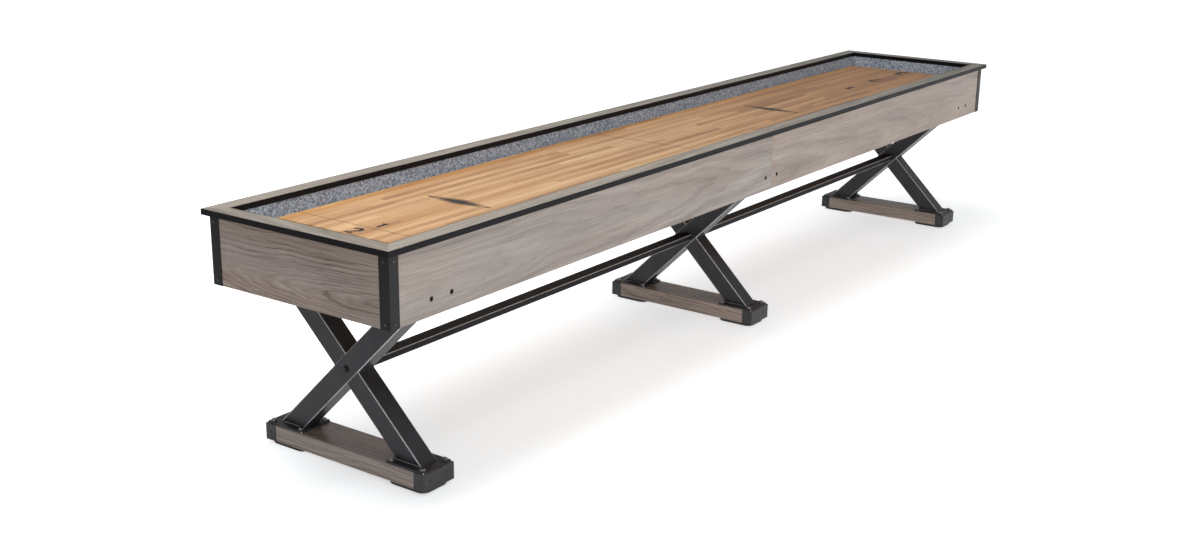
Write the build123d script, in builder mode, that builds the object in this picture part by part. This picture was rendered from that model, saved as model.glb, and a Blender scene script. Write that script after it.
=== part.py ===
from build123d import *
import math
import os

# Three-legged shuffleboard table, in millimetres.
# X runs along the playfield, Y across it and Z up. The origin is on the floor under the middle.

# Whole table
TABLE_LENGTH = 4267.0
TABLE_WIDTH = 752.0
TABLE_HEIGHT = 787.0

# Top rail: flat mitred boards with a black band on both edges
RAIL_WIDTH = 61.0
RAIL_THICK = 18.0
BAND_THICK = 2.0

# Cabinet walls under the rail
CABINET_BOTTOM = 554.0
RAIL_OVERHANG = 19.0
PANEL_THICK = 22.0
LINER_THICK = 17.0
ANGLE_LEG = 38.0
ANGLE_THICK = 2.0

# Playfield and the gutter round it
PLAYFIELD_LENGTH = 3890.0
PLAYFIELD_WIDTH = 520.0
PLAYFIELD_THICK = 50.0
PLAYFIELD_TOP = 740.0
GUTTER_BOARD_THICK = 12.0
GUTTER_BOARD_OVERLAP = 25.0
CROSS_MEMBER_X = (-1650.0, -1000.0, -350.0, 350.0, 1000.0, 1650.0)
CROSS_MEMBER_THICK = 38.0
CROSS_MEMBER_BOTTOM = 618.0

# Climate adjusters under the playfield: a threaded rod between two blocks
ADJUSTER_X = (-1325.0, 0.0, 1325.0)
ADJUSTER_BLOCK = (40.0, 25.0, 34.0)
ADJUSTER_BLOCK_Y = 150.0
ADJUSTER_ROD_RADIUS = 6.0
ADJUSTER_ROD_LENGTH = 370.0
ADJUSTER_HEX_RADIUS = 13.0
ADJUSTER_HEX_LENGTH = 44.0

# X-shaped legs of square tube
LEG_X = (-1904.0, 0.0, 1904.0)
TUBE_SIZE = 70.0
TUBE_WALL = 3.0
TUBE_RADIUS = 6.0
LEG_SPREAD = 490.0
BRACKET_WIDTH = 150.0
BRACKET_THICK = 6.0
BRACKET_FLANGE = 80.0

# Foot beams with their plates, caps and levelling feet
BEAM_WIDTH = 132.0
BEAM_LENGTH = 668.0
BEAM_HEIGHT = 54.0
BEAM_BOTTOM = 12.0
BASE_PLATE_SIZE = (124.0, 152.0)
BASE_PLATE_THICK = 6.0
BASE_PLATE_Y = 252.0
CAP_THICK = 2.0
CAP_FLANGE = 42.0
FOOT_Y = 250.0
FOOT_SIZE = (116.0, 150.0)
FOOT_CORNER = 28.0
FOOT_THICK = 11.5
FOOT_EDGE = 1.5
FOOT_STEM_RADIUS = 8.0
FOOT_STEM_TOP = 52.0
FOOT_BORE_TOP = 58.0

# Stretchers between the legs
STRETCHER_Z = 311.0
STRETCHER_WIDTH = 54.0
STRETCHER_HEIGHT = 24.0
STRETCHER_WALL = 3.0
STRETCHER_RADIUS = 5.0
STRETCHER_END = 10.0

# Pan-head screws of the corner angles and the beam caps
SCREW_RADIUS = 2.5
SCREW_HEAD_RADIUS = 4.6
SCREW_HEAD_HEIGHT = 2.2
SCREW_LENGTH = 14.0
CAP_FLANGE_SCREW_LENGTH = 10.0
ANGLE_SCREW_INSET = 19.0
CAP_SCREW_SPACING = 70.0
CAP_SCREW_INSET = 20.0

# Socket bolts that hold the leg brackets, recessed in the side panels
SIDE_BOLT_RADIUS = 5.0
SIDE_BOLT_HEAD_RADIUS = 7.5
SIDE_BOLT_HEAD_HEIGHT = 6.0
SIDE_BOLT_RECESS = 8.0
SIDE_BOLT_NUT_RADIUS = 9.0
SIDE_BOLT_NUT_HEIGHT = 8.0
SIDE_BOLT_Z = 605.0
SIDE_BOLT_SPACING = 86.0

# Hexagon lag bolts of the base plates and hexagon bolts of the stretchers
BASE_BOLT_RADIUS = 5.0
BASE_BOLT_HEAD_RADIUS = 9.0
BASE_BOLT_HEAD_HEIGHT = 7.0
BASE_BOLT_LENGTH = 45.0
BASE_BOLT_SPACING = (96.0, 120.0)
STRETCHER_BOLT_RADIUS = 6.0
STRETCHER_BOLT_HEAD_RADIUS = 11.0
STRETCHER_BOLT_HEAD_HEIGHT = 5.0

# Radial clearances: of a bolt or screw in its hole, and of a thread that turns or slides
HOLE_CLEARANCE = 0.1
THREAD_CLEARANCE = 0.06

# Derived places
half_length = TABLE_LENGTH / 2
half_width = TABLE_WIDTH / 2
rail_bottom = TABLE_HEIGHT - RAIL_THICK
panel_x = half_length - RAIL_OVERHANG
panel_y = half_width - RAIL_OVERHANG
panel_inner_x = panel_x - PANEL_THICK
panel_inner_y = panel_y - PANEL_THICK
liner_x = panel_inner_x - LINER_THICK
liner_y = panel_inner_y - LINER_THICK
angle_x = panel_x + ANGLE_THICK
angle_y = panel_y + ANGLE_THICK
playfield_bottom = PLAYFIELD_TOP - PLAYFIELD_THICK
gutter_bottom = playfield_bottom - GUTTER_BOARD_THICK
gutter_inner_x = PLAYFIELD_LENGTH / 2 - GUTTER_BOARD_OVERLAP
gutter_inner_y = PLAYFIELD_WIDTH / 2 - GUTTER_BOARD_OVERLAP
beam_top = BEAM_BOTTOM + BEAM_HEIGHT
beam_middle = BEAM_BOTTOM + BEAM_HEIGHT / 2
plate_top = beam_top + BASE_PLATE_THICK
leg_height = CABINET_BOTTOM - plate_top
leg_slope = math.atan2(leg_height, LEG_SPREAD)

os.makedirs("parts", exist_ok=True)


def save(builder, label):
    builder.part.label = label
    export_step(builder.part, f"parts/{label}.step")


def facing_y(side, y, centre_x=0.0):
    """Upright plane that looks out along +Y or -Y, beside centre_x; its second axis is Z."""
    return Plane(origin=(centre_x, side * y, 0), x_dir=(-side, 0, 0), z_dir=(0, side, 0))


def facing_x(side, x, centre_x=0.0):
    """Upright plane that looks out along +X or -X, beside centre_x; its second axis is Z."""
    return Plane(origin=(centre_x + side * x, 0, 0), x_dir=(0, side, 0), z_dir=(side, 0, 0))


def spots_on(plane, spots):
    """Locations of fasteners that stand on a plane, at points of that plane."""
    return [plane.location * Pos(u, v, 0) for u, v in spots]


def board(label, low, high, edge):
    """Rectangular board between two opposite corners, its edges eased by a small chamfer."""
    with BuildPart() as piece:
        with BuildSketch(Plane.XY.offset(low[2])):
            with Locations(((low[0] + high[0]) / 2, (low[1] + high[1]) / 2)):
                Rectangle(high[0] - low[0], high[1] - low[1])
        extrude(amount=high[2] - low[2])
        chamfer(piece.edges(), edge)
    save(piece, label)


def screw(length):
    """Pan-head screw, its head on the plane z = 0 and its shank below."""
    with BuildPart() as piece:
        with BuildSketch():
            Circle(SCREW_HEAD_RADIUS)
        extrude(amount=SCREW_HEAD_HEIGHT)
        fillet(piece.faces().sort_by(Axis.Z)[-1].edges(), SCREW_HEAD_HEIGHT * 0.8)
        with BuildSketch():
            Circle(SCREW_RADIUS)
        extrude(amount=-length)
    return piece.part


def hex_bolt(head_radius, head_height, shank_radius, length):
    """Hexagon bolt, its head on the plane z = 0 and its shank below."""
    with BuildPart() as piece:
        with BuildSketch():
            RegularPolygon(head_radius, 6)
        extrude(amount=head_height)
        chamfer(piece.faces().sort_by(Axis.Z)[-1].edges(), head_height * 0.12)
        with BuildSketch():
            Circle(shank_radius)
        extrude(amount=-length)
    return piece.part


def drill(plane, spots, radius, depth):
    """Round holes from a plane down into the part under construction."""
    with BuildSketch(plane) as holes:
        with Locations(*spots):
            Circle(radius)
    extrude(holes.sketch, amount=-depth, mode=Mode.SUBTRACT)


# ---------------------------------------------------------------- cabinet walls

screw_heights = (CABINET_BOTTOM + 16.0, rail_bottom - 19.0)
side_screw_spots = [(s * (angle_x - ANGLE_SCREW_INSET), z) for s in (-1, 1) for z in screw_heights]
end_screw_spots = [(s * (angle_y - ANGLE_SCREW_INSET), z) for s in (-1, 1) for z in screw_heights]
side_bolt_spots = [(x + s * SIDE_BOLT_SPACING / 2, SIDE_BOLT_Z) for x in LEG_X for s in (-1, 1)]

for side, name in ((-1, "front"), (1, "back")):
    outer_face = facing_y(side, panel_y)
    with BuildPart() as side_panel:
        with BuildSketch(Plane.XY.offset(CABINET_BOTTOM)):
            with Locations((0, side * (panel_y - PANEL_THICK / 2))):
                Rectangle(2 * panel_x, PANEL_THICK)
        extrude(amount=rail_bottom - CABINET_BOTTOM)
        chamfer(side_panel.edges().filter_by(Axis.X), 0.6)
        drill(outer_face, side_bolt_spots, SIDE_BOLT_RADIUS + HOLE_CLEARANCE, PANEL_THICK)
        drill(outer_face, side_bolt_spots, SIDE_BOLT_HEAD_RADIUS + 0.6, SIDE_BOLT_RECESS)
        drill(outer_face, side_screw_spots, SCREW_RADIUS + HOLE_CLEARANCE, SCREW_LENGTH)
        for end in (-1, 1):
            drill(facing_x(end, panel_x), end_screw_spots, SCREW_RADIUS + HOLE_CLEARANCE, SCREW_LENGTH)
    save(side_panel, f"side_panel_{name}")

    board(
        f"wall_liner_{name}",
        (-panel_inner_x, min(side * liner_y, side * panel_inner_y), playfield_bottom),
        (panel_inner_x, max(side * liner_y, side * panel_inner_y), rail_bottom),
        edge=0.5,
    )
    board(
        f"gutter_board_{name}",
        (-panel_inner_x, min(side * gutter_inner_y, side * panel_inner_y), gutter_bottom),
        (panel_inner_x, max(side * gutter_inner_y, side * panel_inner_y), playfield_bottom),
        edge=0.5,
    )

for side, name in ((-1, "left"), (1, "right")):
    with BuildPart() as end_panel:
        with BuildSketch(Plane.XY.offset(CABINET_BOTTOM)):
            with Locations((side * (panel_x - PANEL_THICK / 2), 0)):
                Rectangle(PANEL_THICK, 2 * panel_inner_y)
        extrude(amount=rail_bottom - CABINET_BOTTOM)
        chamfer(end_panel.edges().filter_by(Axis.Y), 0.6)
    save(end_panel, f"end_panel_{name}")

    board(
        f"wall_liner_{name}",
        (min(side * liner_x, side * panel_inner_x), -liner_y, playfield_bottom),
        (max(side * liner_x, side * panel_inner_x), liner_y, rail_bottom),
        edge=0.5,
    )
    board(
        f"gutter_board_{name}",
        (min(side * gutter_inner_x, side * panel_inner_x), -gutter_inner_y, gutter_bottom),
        (max(side * gutter_inner_x, side * panel_inner_x), gutter_inner_y, playfield_bottom),
        edge=0.5,
    )

# Steel angles that cover the four upright corners
for side_x, name_x in ((-1, "left"), (1, "right")):
    for side_y, name_y in ((-1, "front"), (1, "back")):
        with BuildPart() as corner_angle:
            with BuildSketch(Plane.XY.offset(CABINET_BOTTOM)):
                with Locations((side_x * (angle_x - ANGLE_LEG / 2), side_y * (angle_y - ANGLE_LEG / 2))):
                    Rectangle(ANGLE_LEG, ANGLE_LEG)
                with Locations((side_x * (panel_x - ANGLE_LEG / 2), side_y * (panel_y - ANGLE_LEG / 2))):
                    Rectangle(ANGLE_LEG, ANGLE_LEG, mode=Mode.SUBTRACT)
            extrude(amount=rail_bottom - CABINET_BOTTOM)
            outer_edge = corner_angle.edges().filter_by(Axis.Z).sort_by_distance((0, 0, 0))[-1]
            fillet(outer_edge, ANGLE_THICK * 0.8)
            drill(facing_y(side_y, angle_y), side_screw_spots, SCREW_RADIUS + HOLE_CLEARANCE, ANGLE_THICK)
            drill(facing_x(side_x, angle_x), end_screw_spots, SCREW_RADIUS + HOLE_CLEARANCE, ANGLE_THICK)
        save(corner_angle, f"corner_angle_{name_y}_{name_x}")

with BuildPart() as corner_screws:
    for side in (-1, 1):
        with Locations(*spots_on(facing_y(side, angle_y), side_screw_spots)):
            add(screw(SCREW_LENGTH))
        with Locations(*spots_on(facing_x(side, angle_x), end_screw_spots)):
            add(screw(SCREW_LENGTH))
save(corner_screws, "corner_screws")

# ---------------------------------------------------------------- top rail

rail_outer_x = half_length - BAND_THICK
rail_outer_y = half_width - BAND_THICK
rail_inner_x = half_length - RAIL_WIDTH + BAND_THICK
rail_inner_y = half_width - RAIL_WIDTH + BAND_THICK

for side, name in ((-1, "front"), (1, "back")):
    with BuildPart() as rail_cap:
        with BuildSketch(Plane.XY.offset(rail_bottom)):
            Polygon(
                (-rail_outer_x, side * rail_outer_y),
                (rail_outer_x, side * rail_outer_y),
                (rail_inner_x, side * rail_inner_y),
                (-rail_inner_x, side * rail_inner_y),
                align=None,
            )
        extrude(amount=RAIL_THICK)
    save(rail_cap, f"rail_cap_{name}")

for side, name in ((-1, "left"), (1, "right")):
    with BuildPart() as rail_cap:
        with BuildSketch(Plane.XY.offset(rail_bottom)):
            Polygon(
                (side * rail_outer_x, -rail_outer_y),
                (side * rail_outer_x, rail_outer_y),
                (side * rail_inner_x, rail_inner_y),
                (side * rail_inner_x, -rail_inner_y),
                align=None,
            )
        extrude(amount=RAIL_THICK)
    save(rail_cap, f"rail_cap_{name}")

for name, outer_x, outer_y in (
    ("outer", half_length, half_width),
    ("inner", rail_inner_x, rail_inner_y),
):
    with BuildPart() as rail_band:
        with BuildSketch(Plane.XY.offset(rail_bottom)):
            Rectangle(2 * outer_x, 2 * outer_y)
            Rectangle(2 * (outer_x - BAND_THICK), 2 * (outer_y - BAND_THICK), mode=Mode.SUBTRACT)
        extrude(amount=RAIL_THICK)
    save(rail_band, f"rail_band_{name}")

# ---------------------------------------------------------------- playfield and its cradle

with BuildPart() as playfield:
    with BuildSketch(Plane.XY.offset(playfield_bottom)):
        Rectangle(PLAYFIELD_LENGTH, PLAYFIELD_WIDTH)
    extrude(amount=PLAYFIELD_THICK)
    fillet(playfield.faces().sort_by(Axis.Z)[-1].edges(), 3.0)
save(playfield, "playfield")

# Cross members carry the gutter boards on their notched ends and the playfield on their middle
with BuildPart() as cross_members:
    for x in CROSS_MEMBER_X:
        with BuildSketch(Plane.YZ.offset(x - CROSS_MEMBER_THICK / 2)):
            with BuildLine():
                Polyline(
                    (-panel_inner_y, CROSS_MEMBER_BOTTOM),
                    (panel_inner_y, CROSS_MEMBER_BOTTOM),
                    (panel_inner_y, gutter_bottom),
                    (gutter_inner_y - 1, gutter_bottom),
                    (gutter_inner_y - 1, playfield_bottom),
                    (1 - gutter_inner_y, playfield_bottom),
                    (1 - gutter_inner_y, gutter_bottom),
                    (-panel_inner_y, gutter_bottom),
                    close=True,
                )
            make_face()
        extrude(amount=CROSS_MEMBER_THICK)
save(cross_members, "cradle_cross_members")

adjuster_z = playfield_bottom - ADJUSTER_BLOCK[2] / 2
with BuildPart() as adjuster_blocks:
    for x in ADJUSTER_X:
        for side in (-1, 1):
            start = side * ADJUSTER_BLOCK_Y - ADJUSTER_BLOCK[1] / 2
            with BuildSketch(Plane(origin=(x, start, adjuster_z), x_dir=(1, 0, 0), z_dir=(0, 1, 0))):
                Rectangle(ADJUSTER_BLOCK[0], ADJUSTER_BLOCK[2])
                Circle(ADJUSTER_ROD_RADIUS + THREAD_CLEARANCE, mode=Mode.SUBTRACT)
            extrude(amount=ADJUSTER_BLOCK[1])
save(adjuster_blocks, "climate_adjuster_blocks")

for number, x in enumerate(ADJUSTER_X, start=1):
    rod_end = Plane(origin=(x, -ADJUSTER_ROD_LENGTH / 2, adjuster_z), x_dir=(1, 0, 0), z_dir=(0, 1, 0))
    hex_end = rod_end.offset((ADJUSTER_ROD_LENGTH - ADJUSTER_HEX_LENGTH) / 2)
    with BuildPart() as adjuster_rod:
        with BuildSketch(rod_end):
            Circle(ADJUSTER_ROD_RADIUS)
        extrude(amount=ADJUSTER_ROD_LENGTH)
        chamfer(adjuster_rod.edges(), 0.8)
        with BuildSketch(hex_end):
            RegularPolygon(ADJUSTER_HEX_RADIUS, 6)
        extrude(amount=ADJUSTER_HEX_LENGTH)
    save(adjuster_rod, f"climate_adjuster_rod_{number}")

# ---------------------------------------------------------------- X legs


def leg_outline(lean, size):
    """Corners of a tube of the given size from base plate to cabinet, leaning to +Y or -Y."""
    half_cut = size / math.sin(leg_slope) / 2
    foot_y = -lean * LEG_SPREAD / 2
    head_y = lean * LEG_SPREAD / 2
    return (
        (foot_y - half_cut, plate_top),
        (foot_y + half_cut, plate_top),
        (head_y + half_cut, CABINET_BOTTOM),
        (head_y - half_cut, CABINET_BOTTOM),
    )


def leg_tube(leg_plane, lean):
    """Hollow square tube with rounded corners, drawn on the leg's middle plane."""
    with BuildPart() as tube:
        with BuildSketch(leg_plane):
            Polygon(*leg_outline(lean, TUBE_SIZE), align=None)
        extrude(amount=TUBE_SIZE / 2, both=True)
        along = Axis((0, 0, 0), (0, lean * LEG_SPREAD, leg_height))
        fillet(tube.edges().filter_by(along), TUBE_RADIUS)
        with BuildSketch(leg_plane):
            Polygon(*leg_outline(lean, TUBE_SIZE - 2 * TUBE_WALL), align=None)
        extrude(amount=TUBE_SIZE / 2 - TUBE_WALL, both=True, mode=Mode.SUBTRACT)
    return tube.part


for number, x in enumerate(LEG_X, start=1):
    leg_plane = Plane.YZ.offset(x)

    # The long tube runs through the crossing, and the stretcher bolt goes through it
    with BuildPart() as long_tube:
        add(leg_tube(leg_plane, -1))
        with BuildSketch(leg_plane):
            with Locations((0, STRETCHER_Z)):
                Circle(STRETCHER_BOLT_RADIUS + HOLE_CLEARANCE)
        extrude(amount=TUBE_SIZE, both=True, mode=Mode.SUBTRACT)
    save(long_tube, f"leg_{number}_long_tube")

    # The other tube is cut in two where the long one passes
    with BuildPart() as cut_tube:
        add(leg_tube(leg_plane, 1))
        with BuildSketch(leg_plane):
            Polygon(*leg_outline(-1, TUBE_SIZE), align=None)
        extrude(amount=TUBE_SIZE, both=True, mode=Mode.SUBTRACT)
    save(cut_tube, f"leg_{number}_cut_tube")

    # A channel inside the cabinet, its flanges bolted to both side panels
    with BuildPart() as top_bracket:
        with BuildSketch(leg_plane):
            with Locations((0, CABINET_BOTTOM + BRACKET_FLANGE / 2)):
                Rectangle(2 * panel_inner_y, BRACKET_FLANGE)
            with Locations((0, CABINET_BOTTOM + BRACKET_THICK + BRACKET_FLANGE / 2)):
                Rectangle(2 * (panel_inner_y - BRACKET_THICK), BRACKET_FLANGE, mode=Mode.SUBTRACT)
        extrude(amount=BRACKET_WIDTH / 2, both=True)
        bolt_x = [(x + s * SIDE_BOLT_SPACING / 2, SIDE_BOLT_Z) for s in (-1, 1)]
        with BuildSketch(facing_y(-1, 0)):
            with Locations(*bolt_x):
                Circle(SIDE_BOLT_RADIUS + HOLE_CLEARANCE)
        extrude(amount=panel_y, both=True, mode=Mode.SUBTRACT)
    save(top_bracket, f"leg_{number}_top_bracket")

    with BuildPart() as base_plates:
        for side in (-1, 1):
            with BuildSketch(Plane.XY.offset(beam_top)):
                with Locations((x, side * BASE_PLATE_Y)):
                    RectangleRounded(*BASE_PLATE_SIZE, 5.0)
                    with GridLocations(*BASE_BOLT_SPACING, 2, 2):
                        Circle(BASE_BOLT_RADIUS + HOLE_CLEARANCE, mode=Mode.SUBTRACT)
            extrude(amount=BASE_PLATE_THICK)
    save(base_plates, f"leg_{number}_base_plates")

with BuildPart() as side_bolts:
    nut_depth = PANEL_THICK + BRACKET_THICK
    for side in (-1, 1):
        recess_floor = facing_y(side, panel_y - SIDE_BOLT_RECESS)
        with BuildSketch(recess_floor):
            with Locations(*side_bolt_spots):
                Circle(SIDE_BOLT_HEAD_RADIUS)
                RegularPolygon(SIDE_BOLT_HEAD_RADIUS * 0.55, 6, mode=Mode.SUBTRACT)
        extrude(amount=SIDE_BOLT_HEAD_HEIGHT)
        with BuildSketch(recess_floor):
            with Locations(*side_bolt_spots):
                Circle(SIDE_BOLT_HEAD_RADIUS)
        extrude(amount=SIDE_BOLT_HEAD_HEIGHT * 0.4)
        with BuildSketch(recess_floor):
            with Locations(*side_bolt_spots):
                Circle(SIDE_BOLT_RADIUS)
        extrude(amount=SIDE_BOLT_RECESS - nut_depth - SIDE_BOLT_NUT_HEIGHT - 2)
        with BuildSketch(facing_y(side, panel_y - nut_depth)):
            with Locations(*side_bolt_spots):
                RegularPolygon(SIDE_BOLT_NUT_RADIUS, 6)
        extrude(amount=-SIDE_BOLT_NUT_HEIGHT)
save(side_bolts, "side_bolts")

# ---------------------------------------------------------------- foot beams and levelling feet

beam_half = BEAM_LENGTH / 2
cap_end_spots = [(s * CAP_SCREW_SPACING / 2, beam_middle) for s in (-1, 1)]
cap_flange_spots = [(s * (beam_half - CAP_SCREW_INSET), beam_middle) for s in (-1, 1)]

for number, x in enumerate(LEG_X, start=1):
    cap_ends = [facing_y(side, beam_half, x) for side in (-1, 1)]
    cap_flanges = [facing_x(side, BEAM_WIDTH / 2, x) for side in (-1, 1)]

    with BuildPart() as foot_beam:
        with BuildSketch(Plane.XY.offset(BEAM_BOTTOM)):
            with Locations((x, 0)):
                Rectangle(BEAM_WIDTH - 2 * CAP_THICK, BEAM_LENGTH - 2 * CAP_THICK)
        extrude(amount=BEAM_HEIGHT)
        chamfer(foot_beam.edges().filter_by(Axis.Y), 1.0)
        with BuildSketch(Plane.XY.offset(BEAM_BOTTOM)):
            with Locations((x, -FOOT_Y), (x, FOOT_Y)):
                Circle(FOOT_STEM_RADIUS + THREAD_CLEARANCE)
        extrude(amount=FOOT_BORE_TOP - BEAM_BOTTOM, mode=Mode.SUBTRACT)
        with BuildSketch(Plane.XY.offset(beam_top)):
            with Locations((x, -BASE_PLATE_Y), (x, BASE_PLATE_Y)):
                with GridLocations(*BASE_BOLT_SPACING, 2, 2):
                    Circle(BASE_BOLT_RADIUS + HOLE_CLEARANCE)
        extrude(amount=-BASE_BOLT_LENGTH, mode=Mode.SUBTRACT)
        for plane in cap_ends:
            drill(plane, cap_end_spots, SCREW_RADIUS + HOLE_CLEARANCE, SCREW_LENGTH)
        for plane in cap_flanges:
            drill(plane, cap_flange_spots, SCREW_RADIUS + HOLE_CLEARANCE, CAP_FLANGE_SCREW_LENGTH)
    save(foot_beam, f"foot_beam_{number}")

    # Folded steel caps wrap both ends of the beam
    with BuildPart() as end_caps:
        for side in (-1, 1):
            with BuildSketch(Plane.XY.offset(BEAM_BOTTOM)):
                with Locations((x, side * (beam_half - CAP_FLANGE / 2))):
                    Rectangle(BEAM_WIDTH, CAP_FLANGE)
                with Locations((x, side * (beam_half - CAP_THICK - CAP_FLANGE / 2))):
                    Rectangle(BEAM_WIDTH - 2 * CAP_THICK, CAP_FLANGE, mode=Mode.SUBTRACT)
            extrude(amount=BEAM_HEIGHT)
        folds = end_caps.edges().filter_by(Axis.Z).group_by(lambda edge: abs(edge.center().Y))[-1]
        fillet(folds, CAP_THICK * 0.9)
        for plane in cap_ends:
            drill(plane, cap_end_spots, SCREW_RADIUS + HOLE_CLEARANCE, CAP_THICK)
        for plane in cap_flanges:
            drill(plane, cap_flange_spots, SCREW_RADIUS + HOLE_CLEARANCE, CAP_THICK)
    save(end_caps, f"foot_beam_{number}_end_caps")

    # Levelling feet: a rounded pad on a threaded stem that screws out of the beam
    for side, name in ((-1, "front"), (1, "back")):
        with BuildPart() as levelling_foot:
            with BuildSketch():
                with Locations((x, side * FOOT_Y)):
                    RectangleRounded(*FOOT_SIZE, FOOT_CORNER)
            extrude(amount=FOOT_THICK)
            chamfer(levelling_foot.edges().group_by(Axis.Z)[0], FOOT_EDGE)
            chamfer(levelling_foot.edges().group_by(Axis.Z)[-1], FOOT_EDGE)
            with BuildSketch(Plane.XY.offset(FOOT_THICK)):
                with Locations((x, side * FOOT_Y)):
                    Circle(FOOT_STEM_RADIUS)
            extrude(amount=FOOT_STEM_TOP - FOOT_THICK)
            chamfer(levelling_foot.edges().group_by(Axis.Z)[-1], FOOT_EDGE)
        save(levelling_foot, f"levelling_foot_{number}_{name}")

with BuildPart() as base_plate_bolts:
    lag_bolt = hex_bolt(BASE_BOLT_HEAD_RADIUS, BASE_BOLT_HEAD_HEIGHT, BASE_BOLT_RADIUS, BASE_BOLT_LENGTH)
    plate_places = [(x, side * BASE_PLATE_Y, plate_top) for x in LEG_X for side in (-1, 1)]
    with Locations(*plate_places):
        with GridLocations(*BASE_BOLT_SPACING, 2, 2):
            add(lag_bolt)
save(base_plate_bolts, "base_plate_bolts")

with BuildPart() as cap_screws:
    for x in LEG_X:
        for side in (-1, 1):
            with Locations(*spots_on(facing_y(side, beam_half, x), cap_end_spots)):
                add(screw(SCREW_LENGTH))
            with Locations(*spots_on(facing_x(side, BEAM_WIDTH / 2, x), cap_flange_spots)):
                add(screw(CAP_FLANGE_SCREW_LENGTH))
save(cap_screws, "cap_screws")

# ---------------------------------------------------------------- stretchers

stretcher_length = LEG_X[1] - LEG_X[0] - TUBE_SIZE

for number, start_x in enumerate((LEG_X[0] + TUBE_SIZE / 2, LEG_X[1] + TUBE_SIZE / 2), start=1):
    section = Plane(origin=(start_x, 0, STRETCHER_Z), x_dir=(0, 1, 0), z_dir=(1, 0, 0))
    with BuildPart() as stretcher:
        with BuildSketch(section):
            RectangleRounded(STRETCHER_WIDTH, STRETCHER_HEIGHT, STRETCHER_RADIUS)
        extrude(amount=stretcher_length)
        with BuildSketch(section.offset(STRETCHER_END)):
            Rectangle(STRETCHER_WIDTH - 2 * STRETCHER_WALL, STRETCHER_HEIGHT - 2 * STRETCHER_WALL)
        extrude(amount=stretcher_length - 2 * STRETCHER_END, mode=Mode.SUBTRACT)
        with BuildSketch(section):
            Circle(STRETCHER_BOLT_RADIUS + HOLE_CLEARANCE)
        extrude(amount=stretcher_length, mode=Mode.SUBTRACT)
    save(stretcher, f"stretcher_{number}")

# One headed bolt through each end leg, and a plain stud through the middle one
with BuildPart() as stretcher_bolts:
    bolt_length = TUBE_SIZE + STRETCHER_END
    bolt = hex_bolt(
        STRETCHER_BOLT_HEAD_RADIUS, STRETCHER_BOLT_HEAD_HEIGHT, STRETCHER_BOLT_RADIUS, bolt_length
    )
    for side in (-1, 1):
        outer_end = facing_x(side, LEG_X[2] + TUBE_SIZE / 2)
        with Locations(*spots_on(outer_end, [(0, STRETCHER_Z)])):
            add(bolt)
    with BuildSketch(facing_x(1, LEG_X[1])):
        with Locations((0, STRETCHER_Z)):
            Circle(STRETCHER_BOLT_RADIUS)
    extrude(amount=TUBE_SIZE / 2 + STRETCHER_END, both=True)
save(stretcher_bolts, "stretcher_bolts")
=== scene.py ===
import math
import random

import bmesh
import bpy
from mathutils import Matrix, Vector, noise


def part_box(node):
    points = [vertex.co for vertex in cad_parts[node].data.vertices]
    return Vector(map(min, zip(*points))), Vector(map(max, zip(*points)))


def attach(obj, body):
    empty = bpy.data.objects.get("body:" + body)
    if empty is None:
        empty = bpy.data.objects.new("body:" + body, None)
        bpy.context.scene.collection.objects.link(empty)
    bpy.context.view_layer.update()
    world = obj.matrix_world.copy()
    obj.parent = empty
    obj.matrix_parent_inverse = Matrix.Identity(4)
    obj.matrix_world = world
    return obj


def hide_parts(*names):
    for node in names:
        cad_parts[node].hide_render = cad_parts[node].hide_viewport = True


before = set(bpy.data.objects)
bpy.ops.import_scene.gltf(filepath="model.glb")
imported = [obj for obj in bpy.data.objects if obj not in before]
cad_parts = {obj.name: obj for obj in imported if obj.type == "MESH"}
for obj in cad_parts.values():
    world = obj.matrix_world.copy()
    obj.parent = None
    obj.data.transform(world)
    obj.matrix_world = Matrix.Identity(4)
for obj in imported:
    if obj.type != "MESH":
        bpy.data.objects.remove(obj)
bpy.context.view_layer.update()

MM = 0.001
BODY = "table"

# ---------------------------------------------------------------- places taken from the CAD model

playfield_low, playfield_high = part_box("playfield")
liner_back_low, liner_back_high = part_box("wall_liner_back")
liner_right_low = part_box("wall_liner_right")[0]
PLAYFIELD_TOP = playfield_high.z
WALL_FACE_X = liner_right_low.x
WALL_FACE_Y = liner_back_low.y
WALL_TOP = liner_back_high.z
GUTTER_TOP = playfield_low.z
LEG_NUMBERS = (1, 2, 3)
LEG_SPREAD = 0.49  # along Y, from a tube's foot to its head
tube_low, tube_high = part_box("leg_1_long_tube")
TUBE_HALF = (tube_high.x - tube_low.x) / 2
TUBE_FOOT = tube_low.z
TUBE_HEAD = tube_high.z
TUBE_SLOPE = math.atan2(TUBE_HEAD - TUBE_FOOT, LEG_SPREAD)
TUBE_CUT_HALF = TUBE_HALF / math.sin(TUBE_SLOPE)
TUBE_CORNER = 6 * MM


def middle(node):
    low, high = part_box(node)
    return (low + high) / 2


LEG_X = [middle(f"leg_{number}_long_tube").x for number in LEG_NUMBERS]

# ---------------------------------------------------------------- materials


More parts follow.
